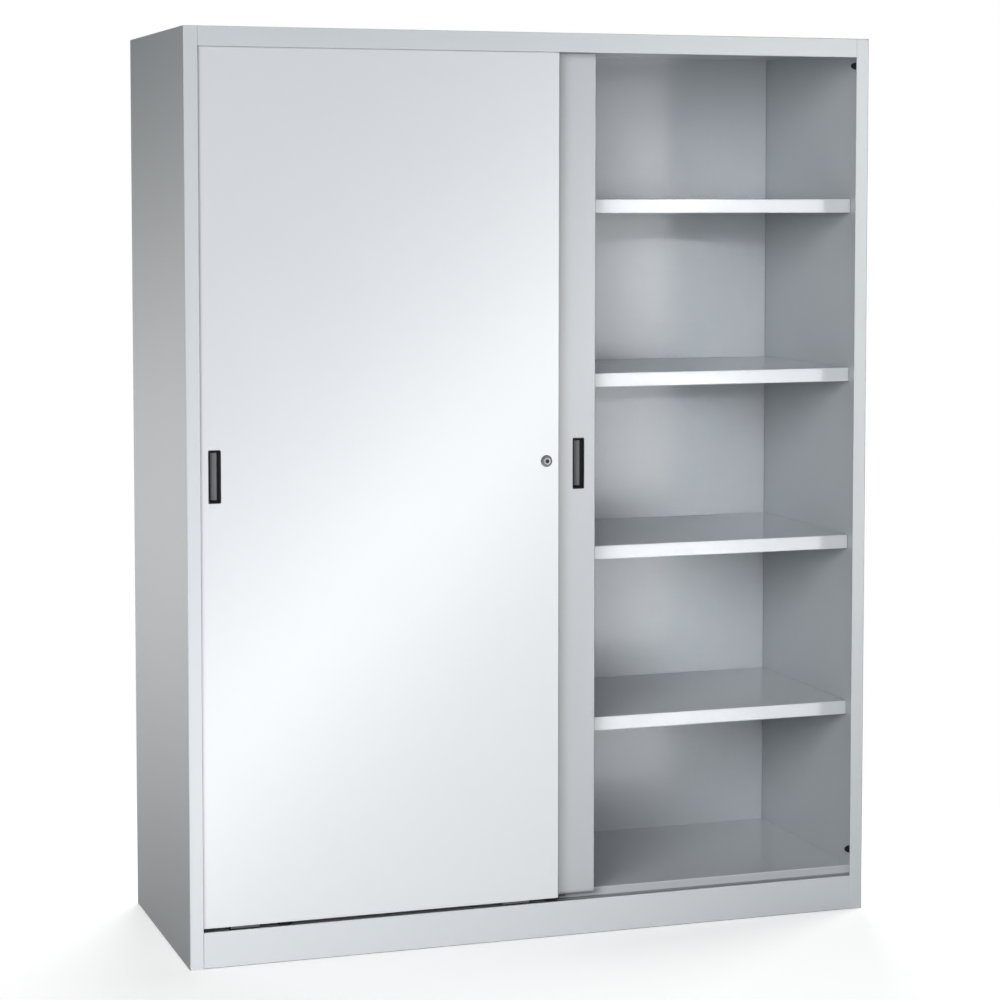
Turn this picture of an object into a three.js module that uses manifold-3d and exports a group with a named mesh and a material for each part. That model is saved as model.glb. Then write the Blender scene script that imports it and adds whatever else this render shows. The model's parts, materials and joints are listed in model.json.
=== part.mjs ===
// Sliding door cabinet of sheet steel. The carcass is welded from folded panels and holds four
// shelves on bearers. Two double-skinned doors stand in two lanes, one behind the other. Each
// runs on two rollers in a grooved track behind the plinth and is kept upright by two blocks in
// a guide track behind the fascia. A push lock in the front door bars the rear one when both
// are closed. The cabinet is drawn with its rear door pushed back behind the front one, so that
// the right half stands open.
//
// Lengths are in millimetres. Inside the cabinet group x runs from the left side, y from the
// front and z from the ground. The group is then placed so that its origin lies under the
// middle of its box.

import * as THREE from 'three';
import { mergeVertices } from 'three/addons/utils/BufferGeometryUtils.js';
import Module from 'manifold-3d';

const wasm = await Module();
wasm.setup();

// Overall size
const width = 1500;
const depth = 550;
const height = 1900;

// Sheet steel, its flat hems and the gap that a loose piece keeps to its seat
const sheet = 1;
const hem = 10;
const seatGap = 0.3;

// Front frame
const stileWidth = 29;
const fasciaHeight = 40;
const plinthHeight = 75;
const baseFlange = 24;
const baseRailHeight = 40;

// Back and ceiling
const backInset = 20;
const ceilingDrop = 22;

// Floor and the bed of the bottom track, from the top of the plinth
const floorRise = 7;
const bedDrop = 15;
const bedUpstand = 12;
const bedFlange = 15;

// Bottom track
const trackHeight = 5;
const grooveDepth = 3.5;
const grooveWidth = 10;

// Doors and their lanes. Closed, the doors overlap in the middle.
const doorOverlap = 88;
const doorThickness = 20;
const doorRecess = 7;
const doorGap = 7;
const doorStandoff = 20;
const doorTopLap = 6;
const doorFloorGap = 6;
const laneClearance = 6;
const gripReveal = 91;

// Stiffener between the two skins of a door
const stiffenerCrown = 30;
const stiffenerFoot = 16;
const stiffenerEndGap = 2;

// Rollers and their brackets
const rollerRadius = 20;
const rollerWidth = 8;
const rollerInset = 95;
const hubRadius = 8;
const treadEdge = 1;
const axleRadius = 3;
const bracketLength = 60;
const bracketWall = 2;
const bracketRise = 30;
const bracketFall = 6;
const slotGap = 2;

// Guide track and guide blocks over the doors
const guideRib = 1.5;
const guideBase = 2;
const guideRibGap = 4;
const guideSideGap = 0.75;
const guideHeadGap = 3;
const guideLength = 50;
const guideInset = 80;
const guideChamfer = 3;

// Recessed grips
const gripWidth = 26;
const gripHeight = 108;
const gripRim = 1.2;
const gripLip = 2;
const gripWall = 1.5;
const gripRecess = 14;
const gripCorner = 3;
const gripInset = 38;
const gripLevel = 1000;

// Push lock in the front door and its strike on the rear one
const lockInset = 28;
const lockLevel = 1010;
const collarRadius = 12.5;
const collarHeight = 2;
const housingRadius = 9.5;
const housingBackGap = 1;
const housingShoulder = 3;
const plungerRadius = 7;
const plungerStep = 4;
const plungerTravel = 6;
const plungerProud = 0.5;
const boltRadius = 5;
const plugRadius = 4.2;
const plugLength = 9.7;
const keyway = 1.6;
const keywayHeight = 6;
const keywayDepth = 6;
const nutRadius = 14;
const nutHeight = 5;
const springWire = 0.9;
const springTurns = 4;
const strikeFaceGap = 1;
const strikeWall = 2.5;
const strikeFoot = 18;
const strikeWidth = 30;
const strikeSlack = 2;

// Rubber buffers and stops
const bufferRadius = 8;
const bufferHeadDrop = 16;
const bufferPlinthRise = 47;
const stopLength = 20;
const stopWidth = 16;
const stopReach = 24;

// Shelves and bearers. The levels between the lowest and the highest one share what is left.
const shelfCount = 4;
const lowestLevel = 364;
const highestLevel = 322;
const shelfFront = 82;
const shelfBackGap = 3;
const shelfSideGap = 1;
const shelfEdge = 30;
const shelfReturn = 12;
const shelfSideEdge = 12;
const bearerWall = 2;
const bearerLeg = 15;
const bearerEndGap = 6;

// Number of flat sides that stand for a circle, an arc or a turn
const wheelSides = 32;
const roundSides = 20;
const cornerSteps = 4;
const hollowSteps = 12;
const springSteps = 12;
const springSides = 6;
const hexSides = 6;

// How far a cutter runs past the face that it cuts
const overrun = 1;

// Levels and places that follow from the sizes above
const inner = sheet;
const hemDepth = 2 * sheet;
const innerRight = width - sheet;
const topUnder = height - sheet;
const floorHeight = plinthHeight + floorRise;
const bedHeight = plinthHeight - bedDrop;
const openingTop = height - fasciaHeight;
const backFace = depth - backInset;
const frontLane = doorRecess;
const lanePitch = doorThickness + doorGap;
const rearLane = frontLane + lanePitch;
const laneCentre = doorThickness / 2;
const floorFront = rearLane + doorThickness + laneClearance;
const doorBottom = plinthHeight + doorFloorGap;
const doorTop = openingTop + doorTopLap;
const closedLeft = sheet + doorStandoff;
const doorWidth = (width - 2 * closedLeft + doorOverlap) / 2;
const closedRight = width - closedLeft - doorWidth;
const frontDoorLeft = closedLeft;
const rearDoorLeft = closedLeft + gripReveal;
const grooveFloor = bedHeight + trackHeight - grooveDepth;
const axleLevel = grooveFloor + seatGap + rollerRadius;
const ribBottom = doorTop + guideRibGap;
const ceiling = height - ceilingDrop;
const lowestShelf = floorHeight + lowestLevel;
const highestShelf = ceiling - highestLevel;
const shelfPitch = (highestShelf - lowestShelf) / (shelfCount - 1);
const lockX = doorWidth - lockInset;
const plungerReach = plungerTravel + plungerProud;
const housingEnd = doorThickness - sheet - housingBackGap;
const strikeHeight = doorGap - strikeFaceGap;

const finishes = {
  body: { color: 0xc9ced3, roughness: 0.45, metalness: 0.1 },
  door: { color: 0xdfe3e7, roughness: 0.25, metalness: 0.1 },
  zinc: { color: 0xb4b8bb, roughness: 0.4, metalness: 0.8 },
  track: { color: 0x9da1a5, roughness: 0.35, metalness: 0.8 },
  nylon: { color: 0xe6e4dc, roughness: 0.5, metalness: 0 },
  grip: { color: 0x2c3134, roughness: 0.5, metalness: 0 },
  rubber: { color: 0x16181a, roughness: 0.8, metalness: 0 },
  lock: { color: 0xc4c7ca, roughness: 0.2, metalness: 0.9 },
  brass: { color: 0xb8a878, roughness: 0.3, metalness: 0.9 },
};

// A named piece with a material of its own.
function piece(name, geometry, finish) {
  geometry.computeVertexNormals();
  const mesh = new THREE.Mesh(geometry, new THREE.MeshStandardMaterial(finishes[finish]));
  mesh.name = name;
  return mesh;
}

// Keeps positions only and joins the vertices that lie together.
function weld(geometry) {
  geometry.deleteAttribute('normal');
  geometry.deleteAttribute('uv');
  return mergeVertices(geometry);
}

// A closed geometry as a solid that can be joined and cut.
function solid(geometry) {
  const welded = weld(geometry);
  const vertProperties = new Float32Array(welded.attributes.position.array);
  const triVerts = new Uint32Array(welded.index.array);
  return new wasm.Manifold(new wasm.Mesh({ numProp: 3, vertProperties, triVerts }));
}

// A joined and cut solid as a geometry again.
function surface(body) {
  const mesh = body.getMesh();
  const geometry = new THREE.BufferGeometry();
  geometry.setAttribute('position', new THREE.BufferAttribute(mesh.vertProperties, mesh.numProp));
  geometry.setIndex(new THREE.BufferAttribute(mesh.triVerts, 1));
  return geometry.toNonIndexed();
}

// Joins the geometries of the first list and cuts those of the second list out of them.
function carve(parts, cutters) {
  const joined = parts.map(solid).reduce((whole, part) => whole.add(part));
  return surface(cutters.map(solid).reduce((whole, cutter) => whole.subtract(cutter), joined));
}

// Moves every vertex of a unit shape to the place that the function gives, so that faces which
// share a named size end on exactly the same number.
function remap(geometry, place) {
  const position = geometry.attributes.position;
  for (let i = 0; i < position.count; i += 1) {
    position.setXYZ(i, ...place(position.getX(i), position.getY(i), position.getZ(i)));
  }
  return geometry;
}

// A box between two limits on each axis.
function block([x0, x1], [y0, y1], [z0, z1]) {
  const place = (x, y, z) => [x < 0 ? x0 : x1, y < 0 ? y0 : y1, z < 0 ? z0 : z1];
  return remap(new THREE.BoxGeometry(1, 1, 1), place);
}

// A unit prism over an outline of [u, v] points.
function prism(outline) {
  const shape = new THREE.Shape(outline.map(([u, v]) => new THREE.Vector2(u, v)));
  return new THREE.ExtrudeGeometry(shape, { depth: 1, bevelEnabled: false });
}

// A bar along x over an outline of [y, z] points.
function barX(outline, [x0, x1]) {
  return remap(prism(outline), (u, v, w) => [w > 0 ? x1 : x0, u, v]);
}

// A bar along z over an outline of [x, y] points.
function barZ(outline, [z0, z1]) {
  return remap(prism(outline), (u, v, w) => [u, v, w > 0 ? z1 : z0]);
}

// A bar along y over an outline of [x, z] points.
function barY(outline, [y0, y1]) {
  return remap(prism(outline), (u, v, w) => [u, w > 0 ? y0 : y1, v]);
}

// Points of a circle.
function circle(u, v, radius, sides) {
  return Array.from({ length: sides }, (_, i) => {
    const angle = (i / sides) * 2 * Math.PI;
    return [u + radius * Math.cos(angle), v + radius * Math.sin(angle)];
  });
}

// Points of a rectangle with round corners, about its centre.
function roundedRectangle(halfWidth, halfHeight, radius) {
  const quarter = Math.PI / 2;
  const corners = [[1, 1], [-1, 1], [-1, -1], [1, -1]];
  return corners.flatMap(([sideU, sideV], corner) =>
    Array.from({ length: cornerSteps + 1 }, (_, i) => {
      const angle = quarter * (corner + i / cornerSteps);
      const u = sideU * (halfWidth - radius) + radius * Math.cos(angle);
      const v = sideV * (halfHeight - radius) + radius * Math.sin(angle);
      return [u, v];
    }));
}

// A body turned about y from [radius, y] points that run up its outside.
function turned(profile, sides) {
  const points = profile.map(([radius, y]) => new THREE.Vector2(radius, y));
  return weld(new THREE.LatheGeometry(points, sides));
}

// Mirrors a range along x from one side of the cabinet to the other.
function mirrored([x0, x1]) {
  return [width - x1, width - x0];
}

function sidePanels() {
  const left = [0, sheet];
  const run = [sheet, depth];
  const rise = [0, topUnder];
  return [
    piece('left_side_panel', block(left, run, rise), 'body'),
    piece('right_side_panel', block(mirrored(left), run, rise), 'body'),
  ];
}

// The stiles are folded flat behind their inner edges.
function stiles() {
  const outline = [
    [0, 0], [stileWidth, 0], [stileWidth, hemDepth],
    [stileWidth - hem, hemDepth], [stileWidth - hem, sheet], [0, sheet],
  ];
  const flipped = outline.map(([x, y]) => [width - x, y]).reverse();
  return [
    piece('left_front_stile', barZ(outline, [0, topUnder]), 'body'),
    piece('right_front_stile', barZ(flipped, [0, topUnder]), 'body'),
  ];
}

function topPanels() {
  const acrossFrame = [stileWidth, width - stileWidth];
  const fasciaOutline = [
    [0, openingTop], [hemDepth, openingTop], [hemDepth, openingTop + hem],
    [sheet, openingTop + hem], [sheet, topUnder], [0, topUnder],
  ];
  const ceilingOutline = [
    [floorFront, ceiling], [backFace, ceiling], [backFace, ceiling + sheet],
    [floorFront + sheet, ceiling + sheet], [floorFront + sheet, topUnder],
    [floorFront, topUnder],
  ];
  return [
    piece('top_panel', block([0, width], [0, depth], [topUnder, height]), 'body'),
    piece('top_fascia', barX(fasciaOutline, acrossFrame), 'body'),
    piece('ceiling_panel', barX(ceilingOutline, [inner, innerRight]), 'body'),
  ];
}

// The back is a tray whose flanges point to the rear, so that its face lies inside the sides.
function backPanel() {
  const tray = block([inner, innerRight], [backFace, depth], [0, topUnder]);
  const hollow = block(
    [inner + sheet, innerRight - sheet],
    [backFace + sheet, depth + overrun],
    [sheet, topUnder - sheet],
  );
  return piece('back_panel', carve([tray], [hollow]), 'body');
}

function basePanels() {
  const acrossFrame = [stileWidth, width - stileWidth];
  const acrossInside = [inner, innerRight];
  const plinthOutline = [
    [0, 0], [baseFlange, 0], [baseFlange, sheet], [sheet, sheet],
    [sheet, plinthHeight - hem], [hemDepth, plinthHeight - hem],
    [hemDepth, plinthHeight], [0, plinthHeight],
  ];
  const railOutline = [
    [backFace - baseFlange, 0], [backFace, 0], [backFace, baseRailHeight],
    [backFace - sheet, baseRailHeight], [backFace - sheet, sheet],
    [backFace - baseFlange, sheet],
  ];
  const floorOutline = [
    [floorFront, bedHeight], [floorFront + sheet, bedHeight],
    [floorFront + sheet, floorHeight - sheet], [backFace, floorHeight - sheet],
    [backFace, floorHeight], [floorFront, floorHeight],
  ];
  return [
    piece('plinth', barX(plinthOutline, acrossFrame), 'body'),
    piece('rear_base_rail', barX(railOutline, acrossInside), 'body'),
    piece('floor_panel', barX(floorOutline, acrossInside), 'body'),
  ];
}

// The bed stands against the plinth's hem and carries the track and the lip of the floor.
function trackBed() {
  const front = hemDepth;
  const back = floorFront + sheet;
  const outline = [
    [front, bedHeight - sheet], [back - sheet, bedHeight - sheet],
    [back - sheet, bedHeight - sheet - bedFlange], [back, bedHeight - sheet - bedFlange],
    [back, bedHeight], [front + sheet, bedHeight],
    [front + sheet, bedHeight + bedUpstand], [front, bedHeight + bedUpstand],
  ];
  return piece('track_bed', barX(outline, [inner, innerRight]), 'body');
}

// One groove lies under the middle of each lane.
function bottomTrack() {
  const front = hemDepth + sheet;
  const top = bedHeight + trackHeight;
  const groove = (lane) => {
    const near = lane + laneCentre - grooveWidth / 2;
    const far = near + grooveWidth;
    return [[far, top], [far, grooveFloor], [near, grooveFloor], [near, top]];
  };
  const outline = [
    [front, bedHeight], [floorFront, bedHeight], [floorFront, top],
    ...groove(rearLane), ...groove(frontLane), [front, top],
  ];
  return piece('bottom_track', barX(outline, [inner, innerRight]), 'track');
}

// Three ribs hang from a base under the top panel and make the two lanes for the blocks.
function guideTrack() {
  const across = [inner, innerRight];
  const middle = rearLane - doorGap / 2;
  const ribs = [middle - lanePitch, middle, middle + lanePitch].map((centre) =>
    [centre - guideRib / 2, centre + guideRib / 2]);
  const front = ribs[0][0];
  const back = ribs.at(-1)[1];
  const base = block(across, [front, back], [topUnder - guideBase, topUnder]);
  const blades = ribs.map((rib) => block(across, rib, [ribBottom, topUnder]));
  return piece('top_guide_track', carve([base, ...blades], []), 'track');
}

// A shelf is a pan with deep folded edges at the front and back and shallow ones at the sides.
function shelf(index) {
  const top = lowestShelf + index * shelfPitch;
  const run = [shelfFront, backFace - shelfBackGap];
  const across = [inner + shelfSideGap, innerRight - shelfSideGap];
  const lowest = top - shelfEdge;
  const outline = [
    [run[0], lowest], [run[0] + shelfReturn, lowest], [run[0] + shelfReturn, lowest + sheet],
    [run[0] + sheet, lowest + sheet], [run[0] + sheet, top - sheet],
    [run[1] - sheet, top - sheet], [run[1] - sheet, lowest + sheet],
    [run[1] - shelfReturn, lowest + sheet], [run[1] - shelfReturn, lowest],
    [run[1], lowest], [run[1], top], [run[0], top],
  ];
  const edges = [[across[0], across[0] + sheet], [across[1] - sheet, across[1]]].map((side) =>
    block(side, run, [top - sheet - shelfSideEdge, top]));
  return piece(`shelf_${index + 1}`, carve([barX(outline, across), ...edges], []), 'body');
}

// The bearers lie inside the shelf's folded edges, where the front edge hides them.
function bearers(index) {
  const seat = lowestShelf + index * shelfPitch - sheet - shelfSideEdge;
  const wall = inner + bearerWall;
  const run = [
    shelfFront + shelfReturn + bearerEndGap,
    backFace - shelfBackGap - shelfReturn - bearerEndGap,
  ];
  const outline = [
    [inner, seat - bearerLeg], [wall, seat - bearerLeg], [wall, seat - bearerWall],
    [wall + bearerLeg, seat - bearerWall], [wall + bearerLeg, seat], [inner, seat],
  ];
  const flipped = outline.map(([x, z]) => [width - x, z]).reverse();
  return [
    piece(`shelf_${index + 1}_left_bearer`, barY(outline, run), 'zinc'),
    piece(`shelf_${index + 1}_right_bearer`, barY(flipped, run), 'zinc'),
  ];
}

// Round buffers on the side panels end the travel of a door at the frame.
function buffer(name, lane, side, level) {
  const reach = [inner, closedLeft - seatGap];
  const outline = circle(lane + laneCentre, level, bufferRadius, roundSides);
  return piece(name, barX(outline, side === 'left' ? reach : mirrored(reach)), 'rubber');
}

function buffers() {
  const upper = openingTop - bufferHeadDrop;
  const lower = plinthHeight + bufferPlinthRise;
  return [
    buffer('front_door_left_buffer_upper', frontLane, 'left', upper),
    buffer('front_door_left_buffer_lower', frontLane, 'left', lower),
    buffer('front_door_right_buffer_upper', frontLane, 'right', upper),
    buffer('front_door_right_buffer_lower', frontLane, 'right', lower),
    buffer('rear_door_right_buffer_upper', rearLane, 'right', upper),
    buffer('rear_door_right_buffer_lower', rearLane, 'right', lower),
  ];
}

// Blocks in the tracks keep the rear door's grip in reach when it is pushed behind the front one.
function stops() {
  const x = [rearDoorLeft - seatGap - stopLength, rearDoorLeft - seatGap];
  const centre = rearLane + laneCentre;
  const y = [centre - stopWidth / 2, centre + stopWidth / 2];
  const lower = [bedHeight + trackHeight, doorBottom + stopReach];
  const upper = [doorTop - stopReach, topUnder - guideBase];
  return [
    piece('rear_door_left_stop_lower', block(x, y, lower), 'rubber'),
    piece('rear_door_left_stop_upper', block(x, y, upper), 'rubber'),
  ];
}

// The opening in a door's skin for its grip.
function gripHole(gripX) {
  const halfWidth = gripWidth / 2 - gripLip + seatGap;
  const halfHeight = gripHeight / 2 - gripLip + seatGap;
  return block(
    [gripX - halfWidth, gripX + halfWidth],
    [-overrun, sheet + overrun],
    [gripLevel - halfHeight, gripLevel + halfHeight],
  );
}

// The slot in a door's lower flange that a roller and its bracket stand in.
function rollerSlot(rollerX) {
  const reach = bracketLength / 2 + slotGap;
  return block(
    [rollerX - reach, rollerX + reach],
    [sheet, doorThickness - sheet],
    [doorBottom - overrun, doorBottom + sheet + overrun],
  );
}

// A round hole along y.
function roundHole(x, z, radius, [y0, y1]) {
  return barY(circle(x, z, radius, roundSides), [y0, y1]);
}

// The grip is a plastic cup with a rim in front of the skin and a hollow for the fingers.
function grip(name, gripX) {
  const bodyWidth = gripWidth / 2 - gripLip;
  const bodyHeight = gripHeight / 2 - gripLip;
  const hollowWidth = bodyWidth - gripWall;
  const hollowHeight = bodyHeight - gripWall;
  const rim = barY(roundedRectangle(gripWidth / 2, gripHeight / 2, gripCorner), [-gripRim, 0]);
  const body = block(
    [-bodyWidth, bodyWidth],
    [-gripRim / 2, gripRecess + gripWall - gripRim],
    [-bodyHeight, bodyHeight],
  );
  const arc = Array.from({ length: hollowSteps + 1 }, (_, i) => {
    const angle = (i / hollowSteps) * Math.PI;
    return [hollowWidth * Math.cos(angle), gripRecess * Math.sin(angle) - gripRim];
  });
  const mouth = [[-hollowWidth, -gripRim - overrun], [hollowWidth, -gripRim - overrun]];
  const hollow = barZ([...arc, ...mouth], [-hollowHeight, hollowHeight]);
  const mesh = piece(name, carve([rim, body], [hollow]), 'grip');
  mesh.position.set(gripX, 0, gripLevel);
  return mesh;
}

// A hat section between the skins, in the middle of the door.
function stiffener(name) {
  const crown = stiffenerCrown / 2;
  const inside = crown - sheet;
  const foot = crown + stiffenerFoot;
  const near = sheet;
  const far = doorThickness - sheet;
  const centre = doorWidth / 2;
  const outline = [
    [-crown, near], [crown, near], [crown, far - sheet], [foot, far - sheet], [foot, far],
    [inside, far], [inside, near + sheet], [-inside, near + sheet], [-inside, far],
    [-foot, far], [-foot, far - sheet], [-crown, far - sheet],
  ].map(([x, y]) => [centre + x, y]);
  const rise = [doorBottom + sheet + stiffenerEndGap, doorTop - sheet - stiffenerEndGap];
  return piece(name, barZ(outline, rise), 'zinc');
}

// The bracket is an inverted channel between the skins with the axle riveted across it.
function rollerBracket(name, rollerX) {
  const length = [rollerX - bracketLength / 2, rollerX + bracketLength / 2];
  const rise = [axleLevel - bracketFall, axleLevel + bracketRise];
  const near = sheet;
  const far = doorThickness - sheet;
  const channel = block(length, [near, far], rise);
  const hollow = block(
    [length[0] - overrun, length[1] + overrun],
    [near + bracketWall, far - bracketWall],
    [rise[0] - overrun, rise[1] - bracketWall],
  );
  const axle = barY(circle(rollerX, axleLevel, axleRadius, roundSides), [near, far]);
  const body = solid(channel).subtract(solid(hollow)).add(solid(axle));
  return piece(name, surface(body), 'zinc');
}

// The roller has a narrow tread that runs in the groove and a wide hub that centres it.
function roller(name, rollerX) {
  const tread = rollerWidth / 2;
  const hub = doorThickness / 2 - sheet - bracketWall - seatGap;
  const bore = axleRadius + seatGap;
  const mesh = piece(name, turned([
    [bore, -hub], [hubRadius, -hub], [hubRadius, -tread], [rollerRadius - treadEdge, -tread],
    [rollerRadius, treadEdge - tread], [rollerRadius, tread - treadEdge],
    [rollerRadius - treadEdge, tread], [hubRadius, tread], [hubRadius, hub], [bore, hub],
    [bore, -hub],
  ], wheelSides), 'nylon');
  mesh.position.set(rollerX, laneCentre, axleLevel);
  return mesh;
}

// A nylon block on the door's top edge, between two ribs of the guide track.
function guideBlock(name, guideX) {
  const halfLength = guideLength / 2;
  const halfWidth = (lanePitch - guideRib) / 2 - guideSideGap;
  const outline = [
    [-halfLength, guideChamfer - halfWidth], [guideChamfer - halfLength, -halfWidth],
    [halfLength - guideChamfer, -halfWidth], [halfLength, guideChamfer - halfWidth],
    [halfLength, halfWidth - guideChamfer], [halfLength - guideChamfer, halfWidth],
    [guideChamfer - halfLength, halfWidth], [-halfLength, halfWidth - guideChamfer],
  ].map(([x, y]) => [guideX + x, laneCentre + y]);
  const rise = [doorTop, topUnder - guideBase - guideHeadGap];
  return piece(name, barZ(outline, rise), 'nylon');
}

// What both doors have. Inside a door x runs from its left edge and y from its face.
function door(name, gripX, skinCuts, liningCuts) {
  const rollerPlaces = { left: rollerInset, right: doorWidth - rollerInset };
  const guidePlaces = { left: guideInset, right: doorWidth - guideInset };
  const shell = block([0, doorWidth], [0, doorThickness], [doorBottom, doorTop]);
  const hollow = block(
    [sheet, doorWidth - sheet],
    [sheet, doorThickness + overrun],
    [doorBottom + sheet, doorTop - sheet],
  );
  const slots = Object.values(rollerPlaces).map(rollerSlot);
  const skin = carve([shell], [hollow, gripHole(gripX), ...slots, ...skinCuts]);
  const lining = block(
    [sheet, doorWidth - sheet],
    [doorThickness - sheet, doorThickness],
    [doorBottom + sheet, doorTop - sheet],
  );
  const group = new THREE.Group();
  group.add(
    piece(`${name}_skin`, skin, 'door'),
    piece(`${name}_lining`, carve([lining], liningCuts), 'door'),
    stiffener(`${name}_stiffener`),
    grip(`${name}_grip`, gripX),
  );
  for (const [side, x] of Object.entries(rollerPlaces)) {
    group.add(rollerBracket(`${name}_${side}_roller_bracket`, x));
    group.add(roller(`${name}_${side}_roller`, x));
  }
  for (const [side, x] of Object.entries(guidePlaces)) {
    group.add(guideBlock(`${name}_${side}_guide_block`, x));
  }
  return group;
}

// The housing is clamped to the front skin by a nut. Its rear shoulder backs the spring.
function lockHousing() {
  const bore = plungerRadius + seatGap;
  const rearBore = boltRadius + seatGap;
  const shoulder = housingEnd - housingShoulder;
  return piece('lock_housing', turned([
    [bore, -collarHeight], [collarRadius, -collarHeight], [collarRadius, 0],
    [housingRadius, 0], [housingRadius, housingEnd], [rearBore, housingEnd],
    [rearBore, shoulder], [bore, shoulder], [bore, -collarHeight],
  ], wheelSides), 'lock');
}

function lockNut() {
  const body = new THREE.CylinderGeometry(nutRadius, nutRadius, nutHeight, hexSides);
  const seat = remap(body, (x, y, z) => [x, y < 0 ? sheet : sheet + nutHeight, z]);
  const bore = roundHole(0, 0, housingRadius + seatGap, [sheet - overrun, sheet + nutHeight + overrun]);
  return piece('lock_nut', carve([seat], [bore]), 'zinc');
}

// The plunger is pushed in by hand. Its rear end is the bolt that bars the rear door.
function lockPlunger() {
  const bore = plugRadius + seatGap;
  const floor = plugLength + seatGap - plungerReach;
  const boltEnd = doorThickness - seatGap;
  return piece('lock_plunger', turned([
    [0, floor], [bore, floor], [bore, -plungerReach], [plungerRadius, -plungerReach],
    [plungerRadius, plungerStep], [boltRadius, plungerStep], [boltRadius, boltEnd],
    [0, boltEnd],
  ], wheelSides), 'lock');
}

function keyPlug() {
  const face = -plungerReach;
  const plug = barY(circle(0, 0, plugRadius, wheelSides), [face, face + plugLength]);
  const slot = block(
    [-keyway / 2, keyway / 2],
    [face - overrun, face + keywayDepth],
    [-keywayHeight / 2, keywayHeight / 2],
  );
  return piece('key_plug', carve([plug], [slot]), 'brass');
}

// A helix about y.
class Helix extends THREE.Curve {
  constructor(radius, start, end, turns) {
    super();
    Object.assign(this, { radius, start, end, turns });
  }

  getPoint(t) {
    const angle = 2 * Math.PI * this.turns * t;
    const y = this.start + (this.end - this.start) * t;
    return new THREE.Vector3(this.radius * Math.cos(angle), y, this.radius * Math.sin(angle));
  }
}

// The spring pushes the plunger out. It lies between the plunger's step and the shoulder.
function lockSpring() {
  const wire = springWire / 2;
  const radius = (plungerRadius + seatGap + boltRadius) / 2;
  const margin = wire + seatGap;
  const start = plungerStep + margin;
  const end = housingEnd - housingShoulder - margin;
  const section = circle(0, 0, wire, springSides).map(([u, v]) => new THREE.Vector2(u, v));
  const geometry = new THREE.ExtrudeGeometry(new THREE.Shape(section), {
    steps: springTurns * springSteps,
    extrudePath: new Helix(radius, start, end, springTurns),
    bevelEnabled: false,
  });
  return piece('lock_spring', weld(geometry), 'zinc');
}

function lock() {
  const group = new THREE.Group();
  group.add(lockHousing(), lockNut(), lockPlunger(), keyPlug(), lockSpring());
  group.position.set(lockX, 0, lockLevel);
  return group;
}

// The strike is an angle on the rear door. With both doors closed its upright stands just to
// the right of the bolt, so the pushed bolt bars either door from opening.
function strike() {
  const bolt = closedLeft + lockX - closedRight;
  const near = bolt + boltRadius + strikeSlack;
  const far = near + strikeWall;
  const outline = [
    [near, -strikeHeight], [far, -strikeHeight], [far, -strikeWall],
    [far + strikeFoot, -strikeWall], [far + strikeFoot, 0], [near, 0],
  ];
  const rise = [lockLevel - strikeWidth / 2, lockLevel + strikeWidth / 2];
  return piece('lock_strike', barZ(outline, rise), 'zinc');
}

function frontDoor() {
  const skinHole = roundHole(lockX, lockLevel, housingRadius + seatGap, [-overrun, sheet + overrun]);
  const boltHole = roundHole(lockX, lockLevel, boltRadius + seatGap, [
    doorThickness - sheet - overrun, doorThickness + overrun,
  ]);
  const group = door('front_door', gripInset, [skinHole], [boltHole]);
  group.add(lock());
  group.position.set(frontDoorLeft, frontLane, 0);
  return group;
}

function rearDoor() {
  const group = door('rear_door', doorWidth - gripInset, [], []);
  group.add(strike());
  group.position.set(rearDoorLeft, rearLane, 0);
  return group;
}

const cabinet = new THREE.Group();
cabinet.add(...sidePanels(), ...stiles(), ...topPanels(), backPanel(), ...basePanels());
cabinet.add(trackBed(), bottomTrack(), guideTrack());
for (let index = 0; index < shelfCount; index += 1) {
  cabinet.add(shelf(index), ...bearers(index));
}
cabinet.add(...buffers(), ...stops(), frontDoor(), rearDoor());
cabinet.position.set(-width / 2, -depth / 2, 0);

export default cabinet;
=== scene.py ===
# %% [markdown]
# # Sliding door cabinet of sheet steel
#
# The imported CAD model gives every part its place. Here the parts get the looks of the real
# cabinet: bends with a true radius, moulded grips, a turned lock, powder coat and metal.
# Everything is in metres, in the frame of the CAD model: x to the right, y to the back, z up.
#
# The frame comes first, because each new piece takes its place from the CAD node that it
# stands for.

# %% Load the frame
import json
import math

import bmesh
import bpy
import numpy as np

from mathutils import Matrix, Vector


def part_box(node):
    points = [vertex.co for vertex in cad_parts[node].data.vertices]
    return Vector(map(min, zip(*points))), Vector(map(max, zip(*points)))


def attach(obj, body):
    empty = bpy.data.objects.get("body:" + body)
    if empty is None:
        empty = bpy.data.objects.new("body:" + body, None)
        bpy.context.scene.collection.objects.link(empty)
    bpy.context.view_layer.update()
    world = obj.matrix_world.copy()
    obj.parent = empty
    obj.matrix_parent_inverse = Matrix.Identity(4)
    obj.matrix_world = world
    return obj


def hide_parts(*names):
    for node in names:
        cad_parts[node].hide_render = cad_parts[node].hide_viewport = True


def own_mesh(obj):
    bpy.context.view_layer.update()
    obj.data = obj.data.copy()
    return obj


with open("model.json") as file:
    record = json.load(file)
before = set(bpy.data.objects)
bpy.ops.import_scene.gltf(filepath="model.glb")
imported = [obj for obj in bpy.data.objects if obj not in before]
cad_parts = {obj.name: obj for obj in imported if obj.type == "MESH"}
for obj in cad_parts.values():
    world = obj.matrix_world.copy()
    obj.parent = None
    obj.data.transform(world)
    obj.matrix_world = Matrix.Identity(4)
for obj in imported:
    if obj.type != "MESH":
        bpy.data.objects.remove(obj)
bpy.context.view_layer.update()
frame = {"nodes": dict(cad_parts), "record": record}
MM = 0.001
SHEET = 1 * MM
HALF = SHEET / 2

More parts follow.
